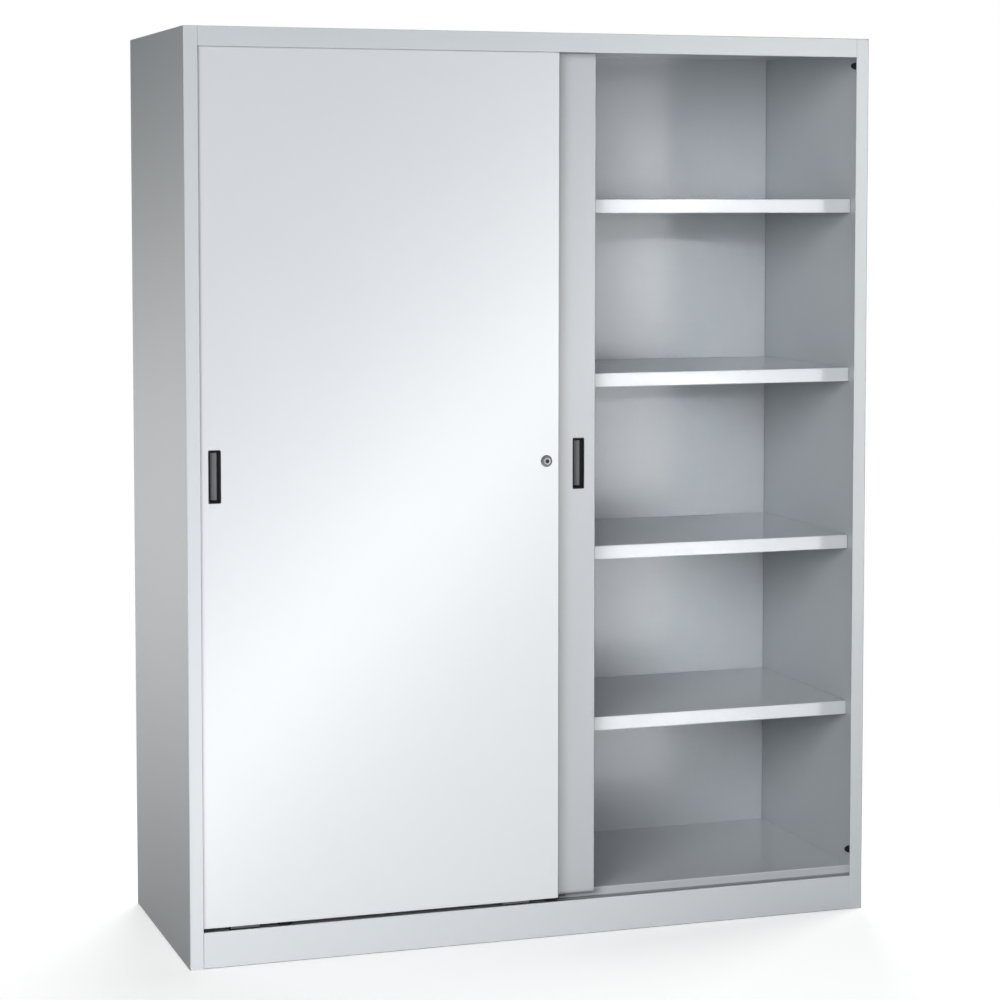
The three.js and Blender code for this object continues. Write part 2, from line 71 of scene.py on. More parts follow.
# %% [markdown]
# ## Procedural finishes
#
# A finish is more than a colour. Powder coat has a faint orange peel and a roughness that
# wanders a little, zinc plate has cloudy crystals, drawn profiles have fine lines along them.
# An image could carry these, but a node pattern on Object coordinates needs no file, has no
# seams and keeps its scale on every part. One function makes all finishes: one noise steers
# the colour and the roughness, and a finer one gives the relief.


# %% Finish function
CLOUD_DETAIL = 4


def finish(name, light, dark, roughness, relief, grain=(1, 1, 1), scale=40, metal=0, level=0.5,
           coat=0, coat_roughness=0.1):
    """Colour runs between dark and light by a noise, roughness between its two limits by the
    same noise, and relief = (noise scale, height in metres) is a bump. grain stretches the
    noise: a small number along an axis draws the pattern out along it."""
    material = bpy.data.materials.new(name)
    material.use_nodes = True
    nodes, links = material.node_tree.nodes, material.node_tree.links
    shader = nodes["Principled BSDF"]
    place = nodes.new("ShaderNodeTexCoord")
    mapping = nodes.new("ShaderNodeMapping")
    mapping.inputs["Scale"].default_value = grain
    links.new(place.outputs["Object"], mapping.inputs["Vector"])
    cloud = nodes.new("ShaderNodeTexNoise")
    cloud.inputs["Scale"].default_value = scale
    cloud.inputs["Detail"].default_value = CLOUD_DETAIL
    links.new(mapping.outputs["Vector"], cloud.inputs["Vector"])
    colour = nodes.new("ShaderNodeMix")
    colour.data_type = "RGBA"
    colour.inputs["A"].default_value = (*dark, 1)
    colour.inputs["B"].default_value = (*light, 1)
    links.new(cloud.outputs["Fac"], colour.inputs["Factor"])
    links.new(colour.outputs["Result"], shader.inputs["Base Color"])
    rough = nodes.new("ShaderNodeMapRange")
    rough.inputs["To Min"].default_value, rough.inputs["To Max"].default_value = roughness
    links.new(cloud.outputs["Fac"], rough.inputs["Value"])
    links.new(rough.outputs["Result"], shader.inputs["Roughness"])
    peel = nodes.new("ShaderNodeTexNoise")
    peel.inputs["Scale"].default_value = relief[0]
    links.new(mapping.outputs["Vector"], peel.inputs["Vector"])
    bump = nodes.new("ShaderNodeBump")
    bump.inputs["Distance"].default_value = relief[1]
    links.new(peel.outputs["Fac"], bump.inputs["Height"])
    links.new(bump.outputs["Normal"], shader.inputs["Normal"])
    shader.inputs["Metallic"].default_value = metal
    shader.inputs["Specular IOR Level"].default_value = level
    shader.inputs["Coat Weight"].default_value = coat
    shader.inputs["Coat Roughness"].default_value = coat_roughness
    print("finish", name)
    return material


# %% [markdown]
# The outside of the carcass has a satin light grey powder coat, and the front door has a
# lighter, glossier one. On the real cabinet the inside and the rear door have the same coats,
# but the photograph was lit so that they look different. Their finishes here are painted light
# and painted shade: the shelves, floor and ceiling are painted a little lighter than the
# outside, the back panel lies between, and the rear door is painted darker and duller, as if
# in the front door's shade. Tracks are drawn aluminium, brackets are zinc plated, rollers and
# guide blocks are nylon. The brackets' dark grey is painted shade that sinks them into the
# shadow line under the doors. The lock has a dark collar and a pale face; the collar's dark
# grey is partly the metal's tone and partly painted shade round the face.

# %% The cabinet's finishes
finishes = {
    "body_paint": finish("body_paint", (0.402, 0.434, 0.458), (0.390, 0.422, 0.446),
                         (0.27, 0.29), (500, 0.004 * MM), scale=6, level=0.72, coat=1.0,
                         coat_roughness=0.15),
    # inner coat: the outer coat painted lighter, painted light for the shelves, floor and
    # ceiling
    "inner_coat_painted_light": finish("inner_coat_painted_light", (0.600, 0.630, 0.660), (0.588, 0.618, 0.648),
                          (0.28, 0.31), (500, 0.004 * MM), scale=6, level=0.4, coat=1.0,
                          coat_roughness=0.15),
    # back coat: the outer coat painted a little lighter, painted light for the back panel
    "back_coat_painted_light": finish("back_coat_painted_light", (0.495, 0.530, 0.560), (0.483, 0.518, 0.548),
                         (0.28, 0.31), (500, 0.004 * MM), scale=6, level=0.25, coat=0.8,
                         coat_roughness=0.18),
    "door_paint": finish("door_paint", (0.488, 0.510, 0.535), (0.478, 0.500, 0.525),
                         (0.10, 0.13), (300, 0.002 * MM), scale=5, level=0.95),
    # rear coat: the door coat painted darker and duller, painted shade for the rear door
    "rear_coat_painted_shade": finish("rear_coat_painted_shade", (0.368, 0.386, 0.408), (0.358, 0.376, 0.398),
                         (0.12, 0.16), (300, 0.002 * MM), scale=5, level=0.6),
    # zinc plate here is dark grey: painted shade that sinks the brackets into the shadow line
    # under the doors
    "zinc_plate": finish("zinc_plate", (0.140, 0.144, 0.150), (0.100, 0.103, 0.108),
                         (0.45, 0.60), (900, 0.01 * MM), scale=120, metal=0.3, level=0.3),
    "track_metal": finish("track_metal", (0.44, 0.45, 0.47), (0.36, 0.37, 0.39), (0.35, 0.5),
                          (900, 0.01 * MM), grain=(0.02, 1, 1), scale=300, metal=0.4),
    "nylon": finish("nylon", (0.060, 0.062, 0.066), (0.044, 0.046, 0.050), (0.45, 0.6),
                    (700, 0.01 * MM), scale=30),
    "grip_plastic": finish("grip_plastic", (0.016, 0.017, 0.018), (0.010, 0.011, 0.012),
                           (0.50, 0.60), (1600, 0.02 * MM), scale=80, level=0.3),
    # the pad's lighter grey is painted light for the lit floor of the grip's cup
    "grip_pad_painted_light": finish("grip_pad_painted_light", (0.150, 0.157, 0.163), (0.125, 0.131, 0.137),
                       (0.45, 0.55), (1600, 0.02 * MM), scale=80, level=0.4),
    "rubber": finish("rubber", (0.014, 0.014, 0.015), (0.008, 0.008, 0.009), (0.6, 0.8),
                     (900, 0.02 * MM), scale=60),
    # the collar's dark grey is partly the metal's tone and partly painted shade round the
    # lock's face
    "lock_metal": finish("lock_metal", (0.17, 0.175, 0.18), (0.12, 0.125, 0.13), (0.28, 0.38),
                         (2500, 0.004 * MM), scale=500, metal=0.6, level=0.4),
    "lock_face": finish("lock_face", (0.56, 0.57, 0.58), (0.48, 0.49, 0.50), (0.30, 0.40),
                        (2500, 0.004 * MM), scale=500, metal=0.3, level=0.4),
    "key_brass": finish("key_brass", (0.065, 0.062, 0.055), (0.040, 0.038, 0.034), (0.45, 0.6),
                        (2500, 0.004 * MM), scale=500, metal=0.4, level=0.3),
}

# %% [markdown]
# The CAD nodes that stay in view keep their shape and only get the finish of their slot. Later
# cells put a finer piece in the place of most nodes that can be seen.

# %% Finish the CAD nodes
slot_of = {row["node"]: row["material_slot"] for row in frame["record"]["subparts"]}
body_of = {node: body for body, nodes in frame["record"]["behaviour"]["bodies"].items()
           for node in nodes}
for node, obj in frame["nodes"].items():
    obj.data.materials.clear()
    obj.data.materials.append(finishes[slot_of[node]])
print("finished", len(slot_of), "nodes")

# %% [markdown]
# ## Helpers for the new pieces
#
# A new piece is a set of points and faces worked out as arrays. This helper puts them into a
# mesh, turns the faces outwards, shades curved parts smoothly and ties the piece to the body
# of the node that it replaces.


# %% Make a piece from arrays
SMOOTH_UP_TO = math.radians(35)


def made(name, shells, nodes, look=None):
    """Joins shells, each (points as an n by 3 array, list of faces), into one piece. The piece
    replaces the CAD nodes, rides on their body and takes their finish, or the one of look."""
    starts = np.cumsum([0] + [len(points) for points, _ in shells[:-1]])
    points = np.vstack([points for points, _ in shells])
    faces = [[int(i) + int(start) for i in face]
             for (_, faces), start in zip(shells, starts) for face in faces]
    mesh = bpy.data.meshes.new(name)
    mesh.from_pydata(points.tolist(), [], faces)
    work = bmesh.new()
    work.from_mesh(mesh)
    bmesh.ops.recalc_face_normals(work, faces=work.faces)
    work.to_mesh(mesh)
    work.free()
    mesh.polygons.foreach_set("use_smooth", [True] * len(mesh.polygons))
    mesh.set_sharp_from_angle(angle=SMOOTH_UP_TO)
    slot = slot_of[nodes[0]]
    mesh.materials.append(finishes[look or slot])
    piece = bpy.data.objects.new(name, mesh)
    bpy.context.scene.collection.objects.link(piece)
    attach(piece, body_of[nodes[0]])
    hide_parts(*nodes)
    print(name, len(points), "points for", ", ".join(nodes))
    return piece


def corners(*nodes):
    """The lowest and highest corner of some CAD nodes together, as arrays."""
    boxes = [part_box(node) for node in nodes]
    low = np.min([np.array(low) for low, _ in boxes], axis=0)
    high = np.max([np.array(high) for _, high in boxes], axis=0)
    return low, high


# %% [markdown]
# ### Folded sheet
#
# Most of the cabinet is sheet steel, bent on a press brake. A cube with bevels would be the
# quick way, but the real thing is one line with round corners, thickened on both sides and
# drawn out along its length. So a fold is described by the corners of its middle line. Each
# corner becomes an arc, and short straight pieces beside the arc keep the flat faces flat in
# their shading.


# %% Folded profile
BEND = 1.6 * MM
BEND_STEPS = 6
SUPPORT = 0.5 * MM


def bent_line(line, radius):
    """A middle line with round corners, and its left normals. At a corner that turns by an
    angle the arc starts radius * tan(angle / 2) before it. An arc point is the arc's centre
    plus the radius turned step by step through the angle."""
    line = np.asarray(line, float)
    ahead = np.diff(line, axis=0)
    ahead /= np.linalg.norm(ahead, axis=1)[:, None]
    left = np.column_stack([-ahead[:, 1], ahead[:, 0]])
    points, normals = [line[:1]], [left[:1]]
    for i in range(1, len(line) - 1):
        a, b = ahead[i - 1], ahead[i]
        turn = math.atan2(a[0] * b[1] - a[1] * b[0], a @ b)
        bend = radius[i - 1] if np.ndim(radius) else radius
        reach = bend * math.tan(abs(turn) / 2)
        side = math.copysign(1, turn)
        centre = line[i] - a * reach + left[i - 1] * side * bend
        angle = np.linspace(0, turn, BEND_STEPS + 1)
        spin = np.stack([np.cos(angle), -np.sin(angle), np.sin(angle), np.cos(angle)], axis=1)
        normal = spin.reshape(-1, 2, 2) @ left[i - 1]
        arc = centre - normal * side * bend
        points.append(arc)
        normals.append(normal)
    points.append(line[-1:])
    normals.append(left[-1:])
    return with_supports(np.vstack(points), np.vstack(normals))


def with_supports(points, normals):
    """Adds a point near each end of every stretch longer than four supports: its ends moved
    inwards by the support length."""
    step = np.diff(points, axis=0)
    length = np.linalg.norm(step, axis=1)
    long = np.flatnonzero(length > 4 * SUPPORT)
    move = step[long] / length[long][:, None] * SUPPORT
    new_points = np.stack([points[long] + move, points[long + 1] - move], axis=1).reshape(-1, 2)
    new_normals = np.repeat(normals[long + 1], 2, axis=0)
    at = np.repeat(long + 1, 2)
    return (np.insert(points, at, new_points, axis=0),
            np.insert(normals, at, new_normals, axis=0))


def thickened(line, radius=BEND - HALF):
    """The closed outline of a sheet: the middle line moved half a thickness to its left, and
    back along it half a thickness to its right."""
    points, normals = bent_line(line, radius)
    return np.vstack([points + normals * HALF, (points - normals * HALF)[::-1]])


# %% [markdown]
# The outline is then carried along an axis. Stations along the way allow windows: the cells of
# the grid between two outline points and two stations are left out on both faces of the sheet,
# and narrow walls close the sides.


# %% Carry a profile along an axis
PLANES = {"x": (1, 2, 0), "y": (0, 2, 1), "z": (0, 1, 2)}


def carried(outline, stations, axis, windows=()):
    """The outline repeated at each station along the axis, joined by quads, with both ends
    closed. A window is (index of its first outline point, first station, last station). It
    goes through the sheet to the mirrored cells, and its rim is walked once for the walls."""
    count, rings = len(outline), len(stations)
    u, v, w = PLANES[axis]
    points = np.empty((rings, count, 3))
    points[:, :, u], points[:, :, v] = outline[:, 0], outline[:, 1]
    points[:, :, w] = np.asarray(stations, float)[:, None]
    grid = np.arange(rings * count).reshape(rings, count)
    ahead = np.roll(grid, -1, axis=1)
    quads = np.stack([grid[:-1], ahead[:-1], ahead[1:], grid[1:]], axis=-1)
    keep = np.ones((rings - 1, count), bool)
    walls = []
    for i, first, last in windows:
        keep[first:last, i] = keep[first:last, count - 2 - i] = False
        up = range(first, last + 1)
        rim = [(j, i + 1) for j in up] + [(j, i) for j in reversed(up)]
        walls += [[grid[a], grid[b], grid[b[0], count - 1 - b[1]], grid[a[0], count - 1 - a[1]]]
                  for a, b in zip(rim, rim[1:] + rim[:1])]
    faces = quads[keep].tolist() + walls + [grid[0].tolist(), grid[-1].tolist()]
    return points.reshape(-1, 3), faces


# %% [markdown]
# ## Side panels with their front stiles
#
# On the real cabinet each side and its front stile are one sheet: it runs forward along the
# side, turns inwards round a bend at the front corner, and is folded flat behind its inner
# edge so that no sharp edge faces the user. The flat fold is a hem: two right bends with a
# radius of half a sheet, so the sheet comes back on itself.

# %% Sides
HEM = 10 * MM
FRONT_BEND = BEND - HALF
HEM_BEND = HALF


def side_line(outer, back, front, inner, way):
    """Back edge, front corner, then the two corners of the hem and its free edge. way is 1
    where the stile points to +x and -1 where it points to -x."""
    half = HALF * way
    return [(outer + half, back), (outer + half, front + HALF),
            (inner - half, front + HALF), (inner - half, front + 3 * HALF),
            (inner - way * HEM, front + 3 * HALF)]


for side, way in (("left", 1), ("right", -1)):
    panel = corners(f"{side}_side_panel", f"{side}_front_stile")
    outer, inner = (panel[0][0], panel[1][0])[::way]
    line = side_line(outer, panel[1][1], panel[0][1], inner, way)
    outline = thickened(line, [FRONT_BEND, HEM_BEND, HEM_BEND])
    made(f"{side}_side_fold", [carried(outline, [panel[0][2], panel[1][2]], "z")],
         [f"{side}_side_panel", f"{side}_front_stile"])

# %% [markdown]
# ## Top sheet
#
# The top is a flat sheet over the whole cabinet. Its edge is dressed round before it is
# coated. A rounded box is a simple formula: clamp each point of a plain box to a smaller box
# inside it, and put the point back at the radius from there. The grid lines lie close together
# near the edges, because that is where the surface turns.


# %% Rounded box
TINY = 1e-12
MERGE_DECIMALS = 7


def rounded_box(low, high, radius, steps=3):
    """Points on the six faces of a box, moved to radius from the nearest point of the box that
    is smaller by the radius on every side. Each face is a grid whose lines crowd near the
    edges; the shared edges are merged."""
    low, high = np.asarray(low, float), np.asarray(high, float)
    ramp = radius * (1 - np.cos(np.linspace(0, math.pi / 2, steps + 1)))
    lines = [np.concatenate([low[k] + ramp, high[k] - ramp[::-1]]) for k in range(3)]
    points, faces, start = [], [], 0
    for w in range(3):
        u, v = (w + 1) % 3, (w + 2) % 3
        for level, flip in ((low[w], True), (high[w], False)):
            a, b = np.meshgrid(lines[u], lines[v], indexing="ij")
            face = np.empty((*a.shape, 3))
            face[..., u], face[..., v], face[..., w] = a, b, level
            grid = start + np.arange(a.size).reshape(a.shape)
            quads = np.stack([grid[:-1, :-1], grid[1:, :-1], grid[1:, 1:], grid[:-1, 1:]], -1)
            quads = quads.reshape(-1, 4)
            faces += (quads[:, ::-1] if flip else quads).tolist()
            points.append(face.reshape(-1, 3))
            start += a.size
    points = np.vstack(points)
    core = np.clip(points, low + radius, high - radius)
    away = points - core
    length = np.linalg.norm(away, axis=1, keepdims=True)
    points = core + away / np.maximum(length, TINY) * radius
    _, first, inverse = np.unique(np.round(points, MERGE_DECIMALS), axis=0,
                                  return_index=True, return_inverse=True)
    inverse = inverse.reshape(-1)
    faces = [list(dict.fromkeys(inverse[face].tolist())) for face in np.array(faces)]
    return points[first], [face for face in faces if len(face) > 2]


TOP_EDGE = 0.45 * MM
top = corners("top_panel")
made("top_sheet", [rounded_box(*top, TOP_EDGE)], ["top_panel"])

# %% [markdown]
# ## Fascia, plinth, floor, ceiling and track bed
#
# These run across the cabinet. Each is a folded profile in the y-z plane, carried along x.
# The fascia and the plinth end in a hem, as the stiles do. The floor has the light lip that
# the photograph shows behind the dark line of the track, and the bed under it carries the
# track.

# %% Cross members
def across(name, node, line, radius=FRONT_BEND, look=None):
    """A folded profile, given by the corners of its middle line, between the ends of a node."""
    low, high = corners(node)
    made(name, [carried(thickened(line, radius), [low[0], high[0]], "x")], [node], look)


low, high = corners("top_fascia")
across("fascia_fold", "top_fascia", [
    (low[1] + HALF, high[2]), (low[1] + HALF, low[2] + HALF),
    (low[1] + 3 * HALF, low[2] + HALF), (low[1] + 3 * HALF, low[2] + HEM)], HEM_BEND)
low, high = corners("plinth")
across("plinth_fold", "plinth", [
    (high[1], low[2] + HALF), (low[1] + HALF, low[2] + HALF), (low[1] + HALF, high[2] - HALF),
    (low[1] + 3 * HALF, high[2] - HALF), (low[1] + 3 * HALF, high[2] - HEM)],
    [FRONT_BEND, HEM_BEND, HEM_BEND])
# the floor and the ceiling take the inner coat, whose lighter tone is painted light
low, high = corners("floor_panel")
across("floor_fold", "floor_panel", [
    (low[1] + HALF, low[2]), (low[1] + HALF, high[2] - HALF), (high[1], high[2] - HALF)],
    look="inner_coat_painted_light")
low, high = corners("ceiling_panel")
across("ceiling_fold", "ceiling_panel", [
    (low[1] + HALF, high[2]), (low[1] + HALF, low[2] + HALF), (high[1], low[2] + HALF)],
    look="inner_coat_painted_light")
low, high = corners("rear_base_rail")
across("rear_rail_fold", "rear_base_rail", [
    (low[1], low[2] + HALF), (high[1] - HALF, low[2] + HALF), (high[1] - HALF, high[2])])
low, high = corners("track_bed")
bed_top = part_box("bottom_track")[0].z - HALF
across("bed_fold", "track_bed", [
    (low[1] + HALF, high[2]), (low[1] + HALF, bed_top), (high[1] - HALF, bed_top),
    (high[1] - HALF, low[2])])

# %% [markdown]
# ## Back panel
#
# The back is a shallow tray: its four sides are bent to the rear. Its outline is a rectangle
# with small round corners, and the sheet's profile is carried round that rectangle. Each
# point of the profile is a pair: how far it lies inside the rectangle, and how deep. The
# frames of the door grips are made in the same way.


# %% Carry a profile round a rectangle
CORNER_STEPS = 4
LEAST_RADIUS = 0.05 * MM


def rectangle(low, high, inset, radius):
    """A rectangle's outline with round corners, moved inwards by inset: each corner's centre
    plus the radius turned through a quarter."""
    middle, half = (low + high) / 2, (high - low) / 2 - inset
    radius = max(radius - inset, LEAST_RADIUS)
    angle = np.linspace(0, math.pi / 2, CORNER_STEPS + 1)
    angle = (angle[None, :] + math.pi / 2 * np.arange(4)[:, None]).ravel()
    sign = np.repeat([[1, 1], [-1, 1], [-1, -1], [1, -1]], CORNER_STEPS + 1, axis=0)
    return middle + sign * (half - radius) + radius * np.column_stack([np.cos(angle),
                                                                       np.sin(angle)])


def ringed(low, high, profile, corner):
    """The profile, rows of (inset, y), carried round the rectangle between low and high in x
    and z, as rings of points."""
    rings = np.stack([rectangle(low[[0, 2]], high[[0, 2]], inset, corner)
                      for inset, _ in profile])
    points = np.empty((*rings.shape[:2], 3))
    points[..., 0], points[..., 2] = rings[..., 0], rings[..., 1]
    points[..., 1] = np.asarray(profile)[:, 1][:, None]
    return points


def tube(rings):
    """Rings of points as a shell: quads between neighbours, and a flat face on the first and
    on the last ring."""
    grid = np.arange(rings.size // 3).reshape(rings.shape[:2])
    ahead = np.roll(grid, -1, axis=1)
    quads = np.stack([grid[:-1], ahead[:-1], ahead[1:], grid[1:]], axis=-1).reshape(-1, 4)
    return rings.reshape(-1, 3), quads.tolist() + [grid[0].tolist(), grid[-1].tolist()]


def wrapped(shape):
    """Quads of a grid that closes on itself both ways, as on a ring."""
    grid = np.arange(shape[0] * shape[1]).reshape(shape)
    right, down = np.roll(grid, -1, axis=1), np.roll(grid, -1, axis=0)
    both = np.roll(right, -1, axis=0)
    return np.stack([grid, right, both, down], axis=-1).reshape(-1, 4).tolist()


# %% Back panel
BACK_CORNER = 2 * MM
low, high = corners("back_panel")
angle = np.linspace(math.pi / 2, 0, BEND_STEPS + 1)
outside = np.column_stack([BEND - BEND * np.cos(angle), low[1] + BEND - BEND * np.sin(angle)])
inside = np.column_stack([BEND - (BEND - SHEET) * np.cos(angle),
                          low[1] + BEND - (BEND - SHEET) * np.sin(angle)])[::-1]
back_profile = np.vstack([[BEND + SUPPORT, low[1]], outside, [0, high[1]], [SHEET, high[1]],
                          inside, [BEND + SUPPORT, low[1] + SHEET]])
# the back tray's lighter coat is painted light
made("back_tray", [tube(ringed(low, high, back_profile, BACK_CORNER))], ["back_panel"],
     "back_coat_painted_light")

# %% [markdown]
# ## Shelves
#
# A shelf is a pan: deep edges with a return at the front and the back make it stiff, and
# shallow edges at its ends hide the bearers. The long profile is one folded sheet, and the two
# end flaps are folded down and spot welded behind it.

# %% Shelves
SHELF_RETURN = 12 * MM
END_FLAP = 13 * MM
FLAP_EDGE = 0.2 * MM
for i in range(1, 5):
    low, high = corners(f"shelf_{i}")
    line = [(low[1] + SHELF_RETURN, low[2] + HALF), (low[1] + HALF, low[2] + HALF),
            (low[1] + HALF, high[2] - HALF), (high[1] - HALF, high[2] - HALF),
            (high[1] - HALF, low[2] + HALF), (high[1] - SHELF_RETURN, low[2] + HALF)]
    shells = [carried(thickened(line), [low[0], high[0]], "x")]
    for x in (low[0], high[0] - SHEET):
        shells.append(rounded_box((x, low[1] + 2 * BEND, high[2] - END_FLAP),
                                  (x + SHEET, high[1] - 2 * BEND, high[2] - HALF),
                                  FLAP_EDGE, 1))
    # the shelves' lighter coat is painted light
    made(f"shelf_{i}_pan", shells, [f"shelf_{i}"], "inner_coat_painted_light")

# %% [markdown]
# ## Door skins
#
# The front skin of a door is bent back at its left and right edges, with a strip welded in at
# the top and at the bottom. The grip and the lock need windows in the skin, and the rollers
# need slots in the lower strip. A boolean would cut them, but the profile grid can simply
# leave those cells out, which keeps the faces clean. The lock's window is square and stays
# under the collar.

# %% Door skins
GRIP_LIP = 1.7 * MM
SLOT_HALF = 32 * MM
LOCK_HALF = 8.6 * MM


def door_skin(door):
    """The skin's profile in the x-y plane goes from one rear edge round the face to the other,
    first along its inside and back along its outside. The windows' sides are points of the
    profile and stations along z."""
    low, high = corners(f"{door}_skin")
    grip_low, grip_high = corners(f"{door}_grip")
    holes = [(grip_low + GRIP_LIP, grip_high - GRIP_LIP)]
    if door == "front_door":
        middle = sum(corners("lock_housing")) / 2
        holes.append((middle - LOCK_HALF, middle + LOCK_HALF))
    sides = np.array([corner[0] for hole in holes for corner in hole])
    outline = thickened([(low[0] + HALF, high[1]), (low[0] + HALF, low[1] + HALF),
                         (high[0] - HALF, low[1] + HALF), (high[0] - HALF, high[1])])
    half = len(outline) // 2
    before = int(np.flatnonzero(outline[:half, 0] < sides[0])[-1]) + 1
    inside = np.column_stack([sides, np.full_like(sides, low[1] + SHEET)])
    outside = np.column_stack([sides, np.full_like(sides, low[1])])[::-1]
    outline = np.vstack([outline[:before], inside, outline[before:-before], outside,
                         outline[-before:]])
    stations = sorted([low[2], high[2]] + [corner[2] for hole in holes for corner in hole])
    windows = [(before + 2 * k, stations.index(start[2]), stations.index(end[2]))
               for k, (start, end) in enumerate(holes)]
    shells = [carried(outline, stations, "z", windows)]
    strip = np.array([[low[1] + SHEET, 0], [high[1] - SHEET, 0], [high[1] - SHEET, SHEET],
                      [low[1] + SHEET, SHEET]])
    ends = [low[0] + SHEET, high[0] - SHEET]
    shells.append(carried(strip + [0, high[2] - SHEET], ends, "x"))
    stations = [ends[0]]
    for side in ("left", "right"):
        middle = sum(corners(f"{door}_{side}_roller"))[0] / 2
        stations += [middle - SLOT_HALF, middle + SLOT_HALF]
    stations.append(ends[1])
    for start, end in zip(stations[::2], stations[1::2]):
        shells.append(carried(strip + [0, low[2]], [start, end], "x"))
    # the rear door's darker, duller coat is painted shade
    look = "rear_coat_painted_shade" if door == "rear_door" else None
    made(f"{door}_sheet", shells, [f"{door}_skin"], look)


DOORS = ("front_door", "rear_door")
for door in DOORS:
    door_skin(door)

# %% [markdown]
# ## Recessed grips
#
# Each door has a moulded grip: a thin black frame on the skin round a deep black cup, with a
# pad at its bottom whose lighter grey is painted light for the lit floor of the cup. Seen from
# the left, the cup's right wall shows and its left wall doesn't, so the dark border is wider
# at the right, as in the photograph.
#
# The cup is a height field: its depth follows a superellipse across and along the grip, which
# gives steep walls and a broad bottom. Cup and pad are both a sheet between two grids.


# %% Sheet between two grids
def soft_grid(count):
    """Positions from -1 to 1 that crowd towards both ends: the sine of even steps."""
    return np.sin(np.linspace(-math.pi / 2, math.pi / 2, count))


def sheet_between(front, back):
    """Both grids of points as faces, the back one turned over, and a band of quads that joins
    their edges."""
    count = front.shape[0] * front.shape[1]
    grid = np.arange(count).reshape(front.shape[:2])
    quads = np.stack([grid[:-1, :-1], grid[1:, :-1], grid[1:, 1:], grid[:-1, 1:]], -1)
    quads = quads.reshape(-1, 4)
    edge = np.concatenate([grid[:-1, 0], grid[-1, :-1], grid[:0:-1, -1], grid[0, :0:-1]])
    step = np.roll(edge, -1)
    band = np.column_stack([edge, step, step + count, edge + count])
    points = np.vstack([front.reshape(-1, 3), back.reshape(-1, 3)])
    return points, quads.tolist() + (quads[:, ::-1] + count).tolist() + band.tolist()


# %% Grip sizes
CUP_WALL, CUP_EDGE, CUP_CLEAR = 1.4 * MM, 0.35 * MM, 0.4 * MM
CUP_POINTS, CUP_POWERS, CUP_ROOT = (33, 49), (4, 24), 0.25
FRAME_WIDTH, FRAME_PROUD, FRAME_CORNER = 2.6 * MM, 1.2 * MM, 2.6 * MM
FRAME_STEPS, FRAME_ARCH = 9, 0.6
PAD_SHARE, PAD_HOLLOW, PAD_SUNK = (0.60, 0.93), 1.1 * MM, 0.7 * MM


# %% Grips
def grip(door):
    """Cup depth = depth * (1 - |x|^4)^(1/4) * (1 - |z|^24)^(1/4), with x and z as shares of
    the opening's half width and half height. The pad's face is hollow: it lies deeper in the
    middle by the hollow times 1 - x^2. The frame's arch is a sine to the power 0.6."""
    low, high = corners(f"{door}_grip")
    middle, half = (low + high) / 2, (high - low) / 2
    opening = half[[0, 2]] - FRAME_WIDTH
    depth = high[1] - low[1] - CUP_WALL - CUP_CLEAR
    x, z = np.meshgrid(*[soft_grid(count) for count in CUP_POINTS], indexing="ij")
    bowl = np.clip(1 - x**CUP_POWERS[0], 0, 1)**CUP_ROOT
    bowl *= np.clip(1 - z**CUP_POWERS[1], 0, 1)**CUP_ROOT

    def level(wall, floor, share=(1, 1)):
        """A grid of points in the opening, wider by wall, at the depth of floor."""
        return np.stack([middle[0] + x * share[0] * (opening[0] + wall), floor,
                         middle[2] + z * share[1] * (opening[1] + wall)], axis=-1)

    front = low[1] + CUP_EDGE
    made(f"{door}_grip_cup", [sheet_between(
        level(0, front + bowl * depth),
        level(CUP_WALL, front + CUP_EDGE + bowl * (depth + CUP_WALL - CUP_EDGE)))],
        [f"{door}_grip"])
    base = front + depth
    hollow = base - PAD_HOLLOW + PAD_HOLLOW * (1 - x**2)
    # the pad's lighter grey is painted light for the cup's lit floor
    made(f"{door}_grip_pad_painted_light", [sheet_between(
        level(0, hollow - PAD_SUNK, PAD_SHARE),
        level(0, np.full_like(x, base + PAD_SUNK), PAD_SHARE))], [f"{door}_grip"], "grip_pad_painted_light")
    turn = np.linspace(0, math.pi, FRAME_STEPS)
    face, width = low[1] + FRAME_PROUD, FRAME_WIDTH / 2
    arch = np.column_stack([width - width * np.cos(turn),
                            face - FRAME_PROUD * np.sin(turn)**FRAME_ARCH])
    profile = np.vstack([[0, face], arch[1:-1], [2 * width, face],
                         [2 * width, face + CUP_WALL], [GRIP_LIP, face + CUP_WALL],
                         [GRIP_LIP, face]])
    rings = ringed(low, high, profile, FRAME_CORNER)
    made(f"{door}_grip_frame", [(rings.reshape(-1, 3), wrapped(rings.shape[:2]))],
         [f"{door}_grip"])


for door in DOORS:
    grip(door)

# %% [markdown]
# ## Turned parts
#
# The lock's housing and plunger, the rollers and the rubber buffers are round, so each is a
# profile of (radius, position) turned about an axis. Small arcs take the place of sharp
# corners, because real turned and moulded parts catch a thin line of light there.


# %% Turn a profile about an axis
def eased(profile, radius, steps=3):
    """A closed profile with round corners: each corner becomes a quadratic curve that starts
    and ends the radius away from it, or a third of the side where that is less, and is drawn
    towards it."""
    profile = np.asarray(profile, float)
    before, after = np.roll(profile, 1, axis=0), np.roll(profile, -1, axis=0)

    def towards(other):
        gap = other - profile
        length = np.linalg.norm(gap, axis=1, keepdims=True)
        return profile + gap / length * np.minimum(radius, length / 3)

    a, b = towards(before)[:, None], towards(after)[:, None]
    t = np.linspace(0, 1, steps + 1)[None, :, None]
    corner = profile[:, None]
    return ((1 - t)**2 * a + 2 * t * (1 - t) * corner + t**2 * b).reshape(-1, 2)


